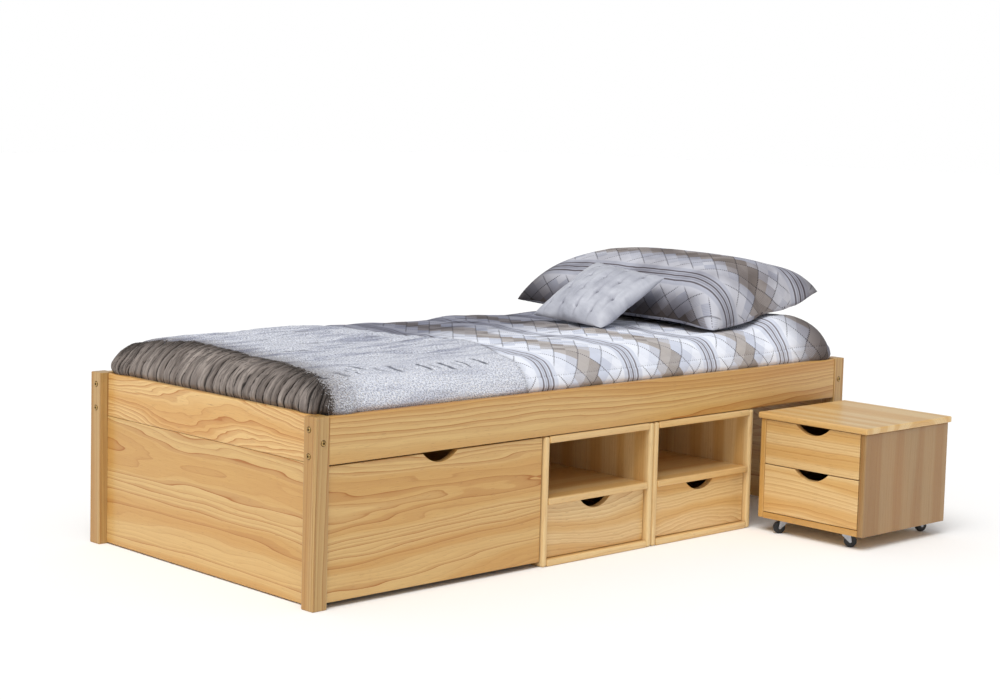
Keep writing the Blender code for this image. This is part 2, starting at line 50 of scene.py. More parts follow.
# ---------------------------------------------------------------- shader helpers
class Shader:
    """Adds nodes to one tree. make() gives the node, and every other call gives a socket."""

    def __init__(self, tree):
        self.tree = tree

    def make(self, kind, inputs=None, **settings):
        """A node of this kind. inputs are sockets or plain values by the input's name or number."""
        node = self.tree.nodes.new("ShaderNode" + kind)
        for key, value in settings.items():
            setattr(node, key, value)
        for key, value in (inputs or {}).items():
            if isinstance(value, bpy.types.NodeSocket):
                self.tree.links.new(value, node.inputs[key])
            else:
                node.inputs[key].default_value = value
        return node

    def math(self, operation, a, b=0.0, c=0.0, clamp=False):
        return self.make("Math", {0: a, 1: b, 2: c}, operation=operation, use_clamp=clamp).outputs[0]

    def plus(self, a, b):
        return self.math("ADD", a, b)

    def times(self, a, b, clamp=False):
        return self.math("MULTIPLY", a, b, clamp=clamp)

    def vector(self, operation, a, b):
        return self.make("VectorMath", {0: a, 1: b}, operation=operation).outputs[0]

    def xyz(self, vector):
        return self.make("SeparateXYZ", {0: vector}).outputs[:3]

    def combine(self, x, y, z=0.0):
        return self.make("CombineXYZ", {0: x, 1: y, 2: z}).outputs[0]

    def noise(self, vector, stretch, detail=2.0, roughness=0.5):
        """Noise from 0 to 1 whose blobs are 1/stretch metres long along each axis."""
        scaled = self.vector("MULTIPLY", vector, stretch)
        inputs = {"Vector": scaled, "Scale": 1.0, "Detail": detail, "Roughness": roughness}
        return self.make("TexNoise", inputs).outputs["Fac"]

    def specks(self, stretch, detail=2.0, roughness=0.5):
        """Noise in the piece's own frame, with blobs of one size along every axis."""
        return self.noise(self.place(), (stretch,) * 3, detail, roughness)

    def between(self, value, low, high, to_low=0.0, to_high=1.0):
        """to_low where value is below low, to_high where it is above high, and smooth between."""
        inputs = {"Value": value, "From Min": low, "From Max": high, "To Min": to_low, "To Max": to_high}
        return self.make("MapRange", inputs, interpolation_type="SMOOTHSTEP").outputs["Result"]

    def falling(self, value, low, high):
        """1 where value is below low, 0 where it is above high, and smooth between."""
        return self.between(value, low, high, 1.0, 0.0)

    def place(self):
        """The point in metres, in the piece's own frame."""
        return self.make("TexCoord").outputs["Object"]

    def attribute(self, name):
        return self.make("Attribute", attribute_name=name).outputs["Fac"]

    def distance(self, value, place):
        return self.math("ABSOLUTE", self.math("SUBTRACT", value, place))

    def from_whole(self, value):
        """How far a number is from the nearest whole one."""
        return self.distance(self.math("FRACT", self.plus(value, 0.5)), 0.5)

    def lucky(self, **by):
        """One random number from 0 to 1 for each value of W, or of a 2D Vector."""
        size = "1D" if "W" in by else "2D"
        return self.make("TexWhiteNoise", by, noise_dimensions=size).outputs["Value"]

    def mix(self, share, a, b, blend="MIX"):
        inputs = {0: share, 6: rgba(a), 7: rgba(b)}
        return self.make("Mix", inputs, data_type="RGBA", blend_type=blend).outputs[2]

    def tint(self, share, a, b):
        return self.mix(share, a, b, "MULTIPLY")

    def grey_ramp(self, share, stops):
        """A grey that goes straight from one (place, value) to the next."""
        node = self.make("ValToRGB", {0: share})
        node.color_ramp.interpolation = "LINEAR"
        for i, (place, _) in enumerate(stops):
            if i > 1:
                node.color_ramp.elements.new(place)
            node.color_ramp.elements[i].position = place
        for i, (_, grey) in enumerate(stops):
            node.color_ramp.elements[i].color = (grey, grey, grey, 1.0)
        return node.outputs[0]

    def bump(self, height, distance, strength=1.0, normal=None):
        inputs = {"Height": height, "Distance": distance, "Strength": strength}
        if normal is not None:
            inputs["Normal"] = normal
        return self.make("Bump", inputs).outputs[0]


def rgba(colour):
    """A socket as it is, and a colour with its alpha."""
    if isinstance(colour, bpy.types.NodeSocket) or len(colour) == 4:
        return colour
    return (*colour, 1.0)


def srgb(red, green, blue):
    """Linear colour of an 8-bit screen colour."""
    parts = [c / 255 for c in (red, green, blue)]
    return tuple(p / 12.92 if p <= 0.04045 else ((p + 0.055) / 1.055) ** 2.4 for p in parts)


def material(name, build, **plain):
    """A material whose Principled node gets sockets from build(shader) and plain values."""
    mat = bpy.data.materials.new(name)
    mat.use_nodes = True
    mat.node_tree.nodes.clear()
    shader = Shader(mat.node_tree)
    principled = shader.make("BsdfPrincipled", {**plain, **build(shader)})
    shader.make("OutputMaterial", {"Surface": principled.outputs[0]})
    return mat


def node_group(name, inputs, outputs, build):
    """A node group with named sockets of these kinds. build(shader, given) gives the outputs by name."""
    tree = bpy.data.node_groups.new(name, "ShaderNodeTree")
    for in_out, sockets in (("INPUT", inputs), ("OUTPUT", outputs)):
        for key, kind in sockets.items():
            tree.interface.new_socket(key, in_out=in_out, socket_type="NodeSocket" + kind)
    made = build(Shader(tree), tree.nodes.new("NodeGroupInput").outputs)
    ends = tree.nodes.new("NodeGroupOutput").inputs
    for key, socket in made.items():
        tree.links.new(socket, ends[key])
    return tree


def dress(obj, mat):
    """Gives every slot of a piece this material."""
    if not obj.material_slots:
        obj.data.materials.append(mat)
    for slot in obj.material_slots:
        slot.link = "OBJECT"
        slot.material = mat


# ---------------------------------------------------------------- pine
CREAM = srgb(222, 188, 126)
HONEY = srgb(210, 166, 98)
LATE = srgb(172, 110, 44)
PORE = srgb(128, 82, 42)

# a year's ring from its start to its end: pale early wood, then the dark late line
RING = ((0.0, 0.0), (0.38, 0.02), (0.45, 0.26), (0.80, 0.36), (0.90, 0.55), (0.95, 1.0), (0.985, 0.9),
        (1.0, 0.0))


def pine_figure(s, given):
    """Growth rings round a pith line, cut by the board: Place is (along, across, through) in metres."""
    shift = s.combine(*(s.times(given["Seed"], factor) for factor in (3.17, 1.73, 2.39)))
    place = s.vector("ADD", given["Place"], shift)
    long_wave = s.math("SUBTRACT", s.noise(place, given["Waves"], 0.0), 0.5)
    quick_waves = s.vector("MULTIPLY", given["Waves"], (5.0, 5.5, 5.5))
    short_wave = s.math("SUBTRACT", s.noise(place, quick_waves, 1.5), 0.5)
    _, across, through = s.xyz(s.vector("SUBTRACT", given["Place"], given["Pith"]))
    radius = s.math("SQRT", s.plus(s.times(across, across), s.times(through, through)))
    sway = s.plus(s.times(long_wave, 1.6), s.times(short_wave, 0.24))
    radius = s.plus(radius, s.times(sway, given["Wander"]))
    rings = s.math("DIVIDE", radius, given["Pitch"])
    phase = s.math("FRACT", rings)
    year = s.lucky(W=s.math("FLOOR", rings))
    late = s.grey_ramp(phase, RING)
    late = s.times(late, s.between(year, 0.2, 0.8, 0.18, 1.0))
    band = s.math("SINE", s.times(rings, 0.7))
    band = s.between(s.plus(band, s.times(long_wave, 2.5)), -0.4, 0.8)
    base = s.mix(band, CREAM, HONEY)
    figure = s.mix(s.times(late, given["Contrast"], clamp=True), base, LATE)
    fibre = s.noise(place, (11, 620, 620), 2.0, 0.6)
    duct = s.between(s.noise(place, (36, 1150, 1150), 0.0), 0.74, 0.82)
    figure = s.mix(s.between(fibre, 0.25, 0.75, 0.0, 0.20), figure, LATE)
    figure = s.mix(s.times(duct, 0.5), figure, PORE)
    return {"Color": figure, "Height": s.plus(s.times(fibre, 0.5), s.times(late, 0.7)), "Late": late}


PINE = node_group("pine figure", {"Place": "Vector", "Seed": "Float", "Pith": "Vector", "Pitch": "Float",
                                  "Wander": "Float", "Waves": "Vector", "Contrast": "Float"},
                  {"Color": "Color", "Height": "Float", "Late": "Float"}, pine_figure)
AXES = {"X": 0, "Y": 1, "Z": 2}


def pine(name, centre, board, seed, tone, gloss=0.3):
    """Lacquered pine for one board: grain runs along one axis, and face is the way the board looks."""
    grain, face, pith, pitch, wander, waves, contrast, tint = board

    def build(s):
        parts = s.xyz(s.vector("SUBTRACT", s.place(), centre))
        across = ({0, 1, 2} - {AXES[grain], AXES[face]}).pop()
        place = s.combine(parts[AXES[grain]], parts[across], parts[AXES[face]])
        inputs = {"Place": place, "Seed": seed, "Pith": (0.0, *pith), "Pitch": pitch, "Wander": wander,
                  "Waves": (waves[0], waves[1], waves[1]), "Contrast": contrast}
        group = s.make("Group", inputs, node_tree=PINE)
        cloud = s.noise(place, (2.5, 7.0, 7.0), 2.0)
        colour = s.tint(1.0, group.outputs["Color"], tuple(c * (1 + tone) for c in tint))
        colour = s.mix(s.between(cloud, 0.3, 0.75, 0.0, 0.12), colour, srgb(196, 134, 70))
        rough = s.between(group.outputs["Late"], 0.0, 1.0, 0.36, 0.46)
        normal = s.bump(group.outputs["Height"], 0.0003, 0.5)
        return {"Base Color": colour, "Roughness": rough, "Normal": normal}
    lacquer = {"Coat Weight": gloss, "Coat Roughness": 0.22, "Specular IOR Level": 0.4}
    return material(name, build, **lacquer)


PLAIN = (0.96, 0.94, 0.88)
LIGHT = (1.12, 1.20, 1.42)
DUSKY = (0.74, 0.71, 0.66)
INSIDE = (0.86, 0.82, 0.90)
WAVES = (1.6, 6.0)
# node: (grain, face, pith line across and through, ring pitch, wander, waves per metre, contrast, tint)
POST = ("Z", "X", (-0.12, 0.05), 0.0075, 0.010, WAVES, 0.9, DUSKY)
DRAWER_END = ("Y", "X", (0.02, 0.06), 0.008, 0.012, WAVES, 0.6, PLAIN)
CLEAT = ("X", "Y", (0.03, 0.03), 0.004, 0.006, WAVES, 0.6, INSIDE)
BOARDS = {
    **{f"post_{end}_{side}": POST for end in ("foot", "head") for side in ("front", "back")},
    "foot_rail": ("Y", "X", (-0.14, -0.05), 0.0120, 0.100, (1.9, 6.0), 1.35, (1.04, 1.02, 1.0)),
    "foot_panel": ("Y", "X", (0.110, -0.11), 0.0095, 0.110, (0.7, 4.6), 1.15, PLAIN),
    "head_rail": ("Y", "X", (-0.02, -0.20), 0.0060, 0.050, WAVES, 0.95, PLAIN),
    "head_panel": ("Y", "X", (0.05, -0.16), 0.0095, 0.110, (0.7, 4.6), 1.1, PLAIN),
    "side_rail_front": ("X", "Y", (-0.070, -0.045), 0.0125, 0.055, (0.8, 5.0), 1.10, (0.92, 0.90, 0.84)),
    "side_rail_back": ("X", "Y", (0.060, -0.080), 0.0090, 0.030, (0.9, 5.0), 0.75, PLAIN),
    "slat_cleat_front": CLEAT, "slat_cleat_back": CLEAT,
    "slat_roll": ("Y", "Z", (0.02, -0.09), 0.006, 0.010, WAVES, 0.55, PLAIN),
    "big_drawer_front": ("X", "Y", (0.090, -0.13), 0.0095, 0.120, (0.75, 4.8), 1.15, PLAIN),
    "big_drawer_back": ("X", "Y", (0.02, 0.06), 0.008, 0.012, WAVES, 0.6, PLAIN),
    "big_drawer_left": DRAWER_END, "big_drawer_right": DRAWER_END,
    "stand_top": ("Y", "Z", (0.06, -0.07), 0.007, 0.014, WAVES, 0.40, LIGHT),
    "stand_bottom": ("Y", "Z", (0.06, -0.07), 0.009, 0.014, WAVES, 0.6, PLAIN),
    "stand_side_bedside": ("Z", "Y", (0.05, -0.06), 0.009, 0.014, WAVES, 0.45, PLAIN),
    # the nightstand's outer side gets a dark tint: painted shade, a shaded copy of the nightstand's pine
    "stand_side_outer": ("Z", "Y", (-0.16, 0.02), 0.0110, 0.030, (1.6, 5.0), 0.26, (0.50, 0.45, 0.44)),
    "stand_front_upper": ("Y", "X", (0.13, 0.03), 0.0080, 0.022, (2.2, 5.0), 0.80, LIGHT),
    "stand_front_lower": ("Y", "X", (-0.12, 0.05), 0.0085, 0.030, (2.2, 5.0), 0.80, LIGHT),
    "stand_box_upper": ("X", "Z", (0.02, -0.09), 0.007, 0.008, WAVES, 0.5, INSIDE),
    "stand_box_lower": ("X", "Z", (0.05, -0.09), 0.007, 0.008, WAVES, 0.5, INSIDE),
}
for cube, seam in (("cube_1", 0.10), ("cube_2", -0.11)):
    for board in ("_left", "_right"):
        BOARDS[cube + board] = ("Z", "X", (0.05, 0.06), 0.008, 0.010, WAVES, 0.35, LIGHT)
    for board in ("_top", "_shelf", "_bottom"):
        BOARDS[cube + board] = ("X", "Z", (0.03, -0.08), 0.008, 0.010, WAVES, 0.4, LIGHT)
    BOARDS[cube + "_drawer_front"] = ("X", "Y", (seam, 0.04), 0.0090, 0.060, (2.4, 4.0), 0.75, LIGHT)
    BOARDS[cube + "_drawer_box"] = ("Y", "Z", (0.02, -0.09), 0.007, 0.008, WAVES, 0.5, INSIDE)


def middle(node):
    low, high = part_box(node)
    return tuple((Vector(low) + Vector(high)) / 2)


def hardboard_look(s):
    speck = s.specks(900.0, 2.0, 0.7)
    cloud = s.specks(9.0, 3.0)
    colour = s.mix(s.between(speck, 0.35, 0.7), srgb(150, 110, 74), srgb(118, 82, 54))
    colour = s.mix(s.between(cloud, 0.3, 0.8, 0.0, 0.3), colour, srgb(168, 126, 86))
    return {"Base Color": colour, "Normal": s.bump(speck, 0.0002, 0.5)}


def zinc_look(s):
    cloud = s.specks(160.0, 3.0)
    brushed = s.noise(s.place(), (2500, 2500, 250), 1.0)
    return {"Base Color": s.mix(cloud, srgb(190, 192, 196), srgb(150, 152, 158)),
            "Roughness": s.between(cloud, 0.2, 0.8, 0.24, 0.46), "Normal": s.bump(brushed, 0.0001, 0.3)}


def wheel_look(s):
    dust = s.specks(220.0, 3.0, 0.6)
    colour = s.mix(s.between(dust, 0.5, 0.8, 0.0, 0.5), srgb(26, 26, 28), srgb(74, 72, 70))
    return {"Base Color": colour, "Roughness": s.between(dust, 0.3, 0.7, 0.36, 0.6),
            "Normal": s.bump(dust, 0.0001, 0.4)}


def brass_look(s):
    cloud = s.specks(420.0)
    brass = s.mix(cloud, srgb(206, 172, 112), srgb(148, 116, 68))
    # shade darkens the brass: painted shade in the socket, and painted shade with some oxide at the rim
    return {"Base Color": s.mix(s.attribute("shade"), brass, srgb(66, 48, 30)),
            "Roughness": s.between(cloud, 0.2, 0.8, 0.22, 0.42)}


def dress_frame():
    """Every shown CAD node gets its own board's pine, or hardboard, zinc or wheel plastic."""
    hardboard = material("hardboard", hardboard_look, Roughness=0.72)
    zinc = material("zinc", zinc_look, Metallic=1.0)
    wheel = material("wheel plastic", wheel_look)
    tints = random.Random(11)
    for index, node in enumerate(sorted(NODES)):
        tone = tints.uniform(-0.04, 0.03)
        thin_back = node.endswith("_back") and "wheel" not in node
        if node in BOARDS:
            gloss = 0.0 if "slat" in node else 0.3
            seed = 1.0 + index * 0.77
            dress(NODES[node], pine("pine " + node, middle(node), BOARDS[node], seed, tone, gloss))
        elif thin_back or node in ("big_drawer_bottom", "stand_divider"):
            dress(NODES[node], hardboard)
        elif "fork" in node:
            dress(NODES[node], zinc)
        elif "wheel" in node:
            dress(NODES[node], wheel)


dress_frame()


# ---------------------------------------------------------------- mesh helpers
def add_values(mesh, values):
    for key, numbers in values.items():
        layer = mesh.attributes.new(key, "FLOAT", "POINT")
        layer.data.foreach_set("value", np.asarray(numbers, float).ravel())


def add_object(name, data):
    obj = bpy.data.objects.new(name, data)
    bpy.context.scene.collection.objects.link(obj)
    return obj


def smooth_object(name, mesh):
    mesh.polygons.foreach_set("use_smooth", [True] * len(mesh.polygons))
    return add_object(name, mesh)


def corner_points(mesh):
    """The number of the point at each face corner."""
    corners = np.zeros(len(mesh.loops), int)
    mesh.loops.foreach_get("vertex_index", corners)
    return corners


def mesh_points(mesh):
    points = np.zeros(len(mesh.vertices) * 3)
    mesh.vertices.foreach_get("co", points)
    return points.reshape(-1, 3)


def mesh_object(name, points, faces, maps=None, values=None):
    """A smooth mesh piece. For each point, maps are named flat places in metres and values named numbers."""
    mesh = bpy.data.meshes.new(name)
    mesh.from_pydata([tuple(p) for p in points], [], [tuple(f) for f in faces])
    for key, flat in (maps or {}).items():
        layer = mesh.uv_layers.new(name=key)
        layer.data.foreach_set("uv", np.asarray(flat, float)[corner_points(mesh)].ravel())
    add_values(mesh, values or {})
    mesh.update()
    return smooth_object(name, mesh)


def ripple(x, y, seed):
    """Smooth noise from -1 to 1, whose hills are about one unit across."""
    table = np.random.RandomState(seed).rand(64, 64) * 2 - 1
    column, row = np.floor(x).astype(int), np.floor(y).astype(int)
    fx, fy = x - column, y - row
    fx, fy = fx * fx * (3 - 2 * fx), fy * fy * (3 - 2 * fy)
    corner = [[table[(column + i) % 64, (row + j) % 64] for j in (0, 1)] for i in (0, 1)]
    near = corner[0][0] * (1 - fy) + corner[0][1] * fy
    far = corner[1][0] * (1 - fy) + corner[1][1] * fy
    return near * (1 - fx) + far * fx


def creases(field, width):
    """From a field whose zeros are the lines: (1 on a line and 0 off it, 0 on a line to 1 between two)."""
    field = np.abs(field)
    return np.exp(-(field / width) ** 2), np.clip(field / 0.55, 0, 1) ** 0.6


def soft(x, low, high):
    """0 below low, 1 above high, and smooth between."""
    t = np.clip((x - low) / (high - low), 0, 1)
    return t * t * (3 - 2 * t)


def grid_faces(rows, columns):
    index = np.arange(rows * columns).reshape(rows, columns)
    return np.stack([index[:-1, :-1], index[1:, :-1], index[1:, 1:], index[:-1, 1:]], -1).reshape(-1, 4)


def grid_normals(points):
    along, across = np.gradient(points, axis=0), np.gradient(points, axis=1)
    normal = np.cross(along, across)
    return normal / np.maximum(np.linalg.norm(normal, axis=2, keepdims=True), 1e-9)


# ---------------------------------------------------------------- bedspread
PERIOD = 0.336          # from one band of stripes to the next
FIRST_BAND = 0.815      # the first band's middle, from the foot end of the bed
BED_FOOT = SPREAD_LO[0] - 0.0487
BED_SIDE = SPREAD_LO[1] - 0.0277
HEM = 0.185             # cloth from where the edge starts to turn down to the hem
CORE = 0.10             # the edge starts to turn this far in from the side
FINE_END = 0.26         # the mesh is finest up to here, where the foot end is gathered
TOP = 0.553             # height of the made bed at the foot end
HEM_LOW = 0.43          # no cloth goes below this height, or ON_MATTRESS on top
ON_MATTRESS = 0.5465
PLEAT = 0.031           # from one deep crease of the gathers to the next
SLOT = 0.034            # from one open pleat on the shoulder to the next
PIPING = 0.112          # the piping lies this far along the cloth's turn over the edge


# what the cloth's material reads at each point; the zeros of a _line or _step are thin lines drawn by it
FIELDS = ("to_foot", "to_quilt", "crease_shade", "run", "deep_line", "deep_share", "mid_line", "mid_share",
          "slot_step", "slot_off")


def edge_profile():
    """(outward, down) against the distance run over the edge: a soft roll, a bulge, then tucked in."""
    corners = [(0.0, 0.0), (0.035, 0.001), (0.065, 0.010), (0.088, 0.028), (0.103, 0.050), (0.108, 0.070),
               (0.102, 0.083), (0.0965, 0.096), (0.0965, 0.125)]
    t = np.linspace(0, len(corners) - 1, 400)
    base = np.arange(len(corners))
    kernel = np.hanning(61)
    kernel /= kernel.sum()
    line = [np.convolve(np.pad(np.interp(t, base, [c[i] for c in corners]), 30, "edge"), kernel, "valid")
            for i in (0, 1)]
    run = np.concatenate([[0], np.cumsum(np.hypot(np.diff(line[0]), np.diff(line[1])))])
    return run, line[0], line[1]


def spread_top(x, y):
    """Height of the made bed's top: a slow rise to the head end, and the hump of a flat pillow there."""
    hump = 0.038 * soft(x, 1.74, 1.88) * (1 - 0.2 * soft(x, 1.99, 2.05))
    rise = TOP + 0.010 * soft(x, 0.05, 1.5) + hump
    fuller = 0.018 * soft(y, 0.40, 0.78) * (1 - soft(x, 0.45, 1.05)) * soft(x, 0.02, 0.16)
    return rise + fuller + 0.006 * np.cos((y - 0.485) * math.pi / 0.97)


def foot_seam(y):
    """How far from the foot the gathered end meets the crinkled middle."""
    return 0.155 - 0.40 * (y - 0.50) ** 2 + 0.006 * ripple(y * 16, y * 0 + 0.5, 5)


def quilt_seam(y):
    """How far from the foot the crinkled middle meets the quilted part."""
    return 0.735 + 0.13 * np.exp(-((y - 0.40) / 0.2) ** 2) + 0.006 * ripple(y * 9, y * 0 + 3.5, 8)


def own_share(seed, count, number):
    """A random number from 0 to 1 that belongs to each whole number, out of count different ones."""
    return np.random.RandomState(seed).rand(count)[np.round(number).astype(int) % count]


def bedspread():
    low_x, high_x = SPREAD_LO[0] - BED_FOOT, SPREAD_HI[0] - BED_FOOT
    low_y, high_y = SPREAD_LO[1] - BED_SIDE, SPREAD_HI[1] - BED_SIDE
    along = np.concatenate([np.arange(low_x + CORE - HEM, FINE_END, 0.0030),
                            np.arange(FINE_END, high_x - CORE + HEM, 0.0095)])
    across = np.linspace(low_y + CORE - HEM, high_y - CORE + HEM, 330)
    a, b = np.meshgrid(along, across, indexing="ij")
    core_x, core_y = np.clip(a, low_x + CORE, high_x - CORE), np.clip(b, low_y + CORE, high_y - CORE)
    over_x, over_y = a - core_x, b - core_y
    run = np.maximum(np.abs(over_x), np.abs(over_y))
    angle = np.arctan2(over_y, over_x)
    distance, outward, down = edge_profile()
    out, drop = np.interp(run, distance, outward), np.interp(run, distance, down)
    fuller_head = np.clip(np.cos(angle), 0, 1) * (1 - soft(run, 0.04, 0.105))
    drop = drop * (1 - 0.60 * fuller_head)
    corner = (0.30 + 0.14 * np.clip(np.cos(angle), 0, 1)) * np.abs(np.sin(2 * angle))
    ease = 1 + corner * soft(run, 0.01, 0.085)
    x, y = core_x + np.cos(angle) * out * ease, core_y + np.sin(angle) * out * ease
    skirt = soft(run, 0.05, 0.12)
    z = spread_top(x, y) - drop - soft(run, 0.0, 0.15) * (spread_top(x, y) - TOP)
    points = np.stack([x, y, z], -1)
    facing = grid_normals(points)

    # the coordinate round the bed's edge, for pleats that fan at the foot corners
    foot = over_x < 0
    fan = np.abs(np.arctan2(over_y, -np.minimum(over_x, -1e-6)))
    round_edge = core_y + np.sign(over_y) * np.where(foot, fan, math.pi / 2) * 0.115
    to_foot = x - foot_seam(y) + 0.004 * ripple(round_edge * 90, a * 0, 6)
    to_quilt = x - quilt_seam(y)
    gathered = 1 - soft(to_foot, -0.012, 0.004)
    quilted = soft(to_quilt, -0.006, 0.006)

    # gathers: smooth pleats between deep creases, each with its own strength, and finer ones by the seam
    depth = np.maximum(-over_x, 0)
    bowed = round_edge - 0.10 * depth + 0.003 * ripple(round_edge * 25, depth * 30, 25)
    count = bowed / PLEAT + 0.55 * ripple(bowed * 13, depth * 6, 21)
    deep_line = np.sin(math.pi * count)
    deep_share = 0.45 + 0.55 * own_share(27, 97, count)
    mid_line = np.sin(math.pi * (count * 2.3 + 1.1 * ripple(bowed * 26, depth * 13, 22)))
    deep, broad = creases(deep_line, 0.22)
    _, narrow = creases(mid_line, 0.40)
    mid_share = 0.20 + 0.80 * soft(ripple(round_edge * 9, depth * 9, 24) + 3.0 * to_foot + 0.30, -0.1, 0.35)
    pleats = 0.013 * (broad - 0.8) * deep_share + 0.006 * (narrow - 0.8) * mid_share
    ruffle = 0.5 + np.abs(ripple(round_edge * 130, depth * 0, 26))
    ruffle = 0.0035 * np.exp(-(to_foot / 0.008) ** 2) * ruffle
    lift = gathered * (pleats + 0.003) + ruffle
    # painted shade: the material draws the gathers' deep creases dark
    crease_shade = 0.25 * gathered * deep * deep_share

    # crinkled middle: broad soft ripples, small puckers, and a row of open slanting pleats on the shoulder
    middle_part = (1 - gathered) * (1 - quilted)
    swell = 0.0042 * ripple(a * 3.0, b * 8 + a * 3, 31) + 0.0022 * ripple(a * 9, b * 22 + a * 8, 32)
    swell += 0.0030 * ripple(a * 5 + b * 6, b * 34 - a * 4, 36) * soft(b, 0.40, 0.60)
    pucker = 0.0011 * ripple(a * 55 + b * 30, b * 120 - a * 20, 33)
    off = b - 0.112 - 0.06 * np.exp(-((a - 0.255) / 0.035) ** 2) - 0.008 * ripple(a * 6, b * 0, 37)
    step = (a + 0.1 * off) / SLOT + 0.45 * ripple(a * 20, b * 0 + 4, 38)
    slots = np.exp(-(np.sin(math.pi * step) / 0.50) ** 2 - (off / 0.024) ** 2)
    lift += middle_part * (swell + pucker - 0.004 * slots)

    # quilted part: puffed between the bands, with long slack wrinkles
    bay = np.abs(np.sin(math.pi * (a - FIRST_BAND) / PERIOD)) ** 0.6
    slack = 0.0052 * ripple(a * 4.2 + b * 2, b * 9 - a * 3, 41)
    slack += 0.0030 * ripple(a * 10 - b * 6, b * 22 + a * 6, 42)
    piping = np.exp(-((run - PIPING) / 0.0035) ** 2) * soft(np.abs(over_y), 0.05, 0.06)
    lift += quilted * (0.004 * bay - 0.002 + slack * (1 - 0.5 * skirt) - 0.0016 * piping)
    join = np.exp(-(to_quilt / 0.006) ** 2)
    lift -= 0.0025 * join
    # painted shade: the dip where the crinkled middle meets the quilting is drawn dark too
    crease_shade = np.maximum(crease_shade, 0.35 * join)

    tucked = 1 - soft(run, 0.125, 0.150)
    points = points + facing * (lift * tucked)[..., None]
    points[..., 2] = np.maximum(points[..., 2], np.where(run < 0.05, ON_MATTRESS, HEM_LOW))
    points += np.array([BED_FOOT, BED_SIDE, 0])
    fields = (to_foot, to_quilt, crease_shade, run, deep_line, deep_share, mid_line, mid_share, step, off)
    maps = {"cloth": (a, b), "gather": (bowed, depth)}
    maps = {key: np.stack(pair, -1).reshape(-1, 2) for key, pair in maps.items()}
    faces = grid_faces(*a.shape)
    return mesh_object("bedspread_cloth", points.reshape(-1, 3), faces, maps, dict(zip(FIELDS, fields)))


# ---------------------------------------------------------------- cloth looks
WHITE = srgb(238, 241, 250)
PALE = srgb(206, 211, 226)
ASH = srgb(158, 160, 173)
TAUPE = srgb(188, 181, 177)
DEEP_TAUPE = srgb(152, 143, 137)
STRIPE = srgb(92, 80, 82)
THREAD = srgb(58, 52, 58)
SHADE = srgb(26, 22, 20)


def argyle(s, given):
    """Diamonds, dashed lozenges and triple stripes. Flat is metres on the cloth; stripes cross its length."""
    along, across, _ = s.xyz(given["Flat"])
    bay = s.math("SUBTRACT", s.math("FRACT", s.math("DIVIDE", along, PERIOD)), 0.5)
    bay = s.times(bay, PERIOD)
    from_band = s.math("SUBTRACT", PERIOD / 2, s.math("ABSOLUTE", bay))

    wide, tall = 0.046, 0.050
    p = s.plus(s.math("DIVIDE", bay, wide), s.math("DIVIDE", across, tall))
    q = s.math("SUBTRACT", s.math("DIVIDE", bay, wide), s.math("DIVIDE", across, tall))
    cell_p, cell_q = s.math("FLOOR", p), s.math("FLOOR", q)
    column = s.math("ABSOLUTE", s.plus(s.plus(cell_p, cell_q), 1.0))
    luck = s.lucky(Vector=s.combine(cell_p, cell_q))
    hatched = s.times(s.math("SINE", s.times(p, 52.0)), 0.30)
    share = s.plus(luck, hatched)
    inner = s.mix(s.between(share, 0.3, 0.7, 0, 1), TAUPE, DEEP_TAUPE)
    nearby = s.mix(s.between(share, 0.30, 0.70), TAUPE, PALE)
    outer = s.mix(s.between(share, 0.30, 0.70), PALE, WHITE)
    colour = s.mix(s.between(column, 1.4, 1.6), inner, nearby)
    colour = s.mix(s.between(column, 2.4, 2.6), colour, outer)
    colour = s.mix(s.between(column, 4.4, 4.6), colour, WHITE)

    def dashed(line, other):
        stroke = s.falling(s.from_whole(line), 0.022, 0.034)
        gaps = s.falling(s.math("FRACT", s.times(other, 6.0)), 0.55, 0.65)
        return s.times(stroke, gaps)

    half_p, half_q = s.times(p, 0.5), s.times(q, 0.5)
    dashes = s.math("MAXIMUM", dashed(half_p, q), dashed(half_q, p))
    dashes = s.times(dashes, s.between(from_band, 0.035, 0.05))
    colour = s.mix(s.times(dashes, 0.8), colour, THREAD)

    ribbon = s.falling(from_band, 0.034, 0.040)
    colour = s.mix(s.times(ribbon, 0.75), colour, PALE)
    middle_line = s.falling(from_band, 0.0022, 0.0036)
    side_lines = s.falling(s.distance(from_band, 0.0190), 0.0022, 0.0036)
    lines = s.math("MAXIMUM", middle_line, side_lines)
    shade = s.falling(s.distance(from_band, 0.0085), 0.002, 0.004)
    colour = s.mix(s.times(shade, 0.55), colour, ASH)
    colour = s.mix(s.times(lines, 0.85), colour, STRIPE)
    return {"Color": colour, "Height": s.plus(s.times(dashes, -0.6), s.times(lines, 0.3))}


ARGYLE = node_group("argyle cloth", {"Flat": "Vector"}, {"Color": "Color", "Height": "Float"}, argyle)


def weave(s, flat, per_metre=900.0):
    """Height of a plain weave on the flat cloth."""
    x, y, _ = s.xyz(s.vector("MULTIPLY", flat, (per_metre,) * 3))
    waves = [s.math("SINE", s.times(axis, math.tau)) for axis in (x, y)]
    return s.times(waves[0], waves[1])


def flat_cloth(s, shift=(0.0, 0.0, 0.0)):
    """The place on the flat cloth in metres, moved by shift."""
    return s.vector("ADD", s.make("UVMap", uv_map="cloth").outputs[0], shift)


def argyle_on(s, flat):
    group = s.make("Group", {"Flat": flat}, node_tree=ARGYLE)
    return group.outputs["Color"], group.outputs["Height"]


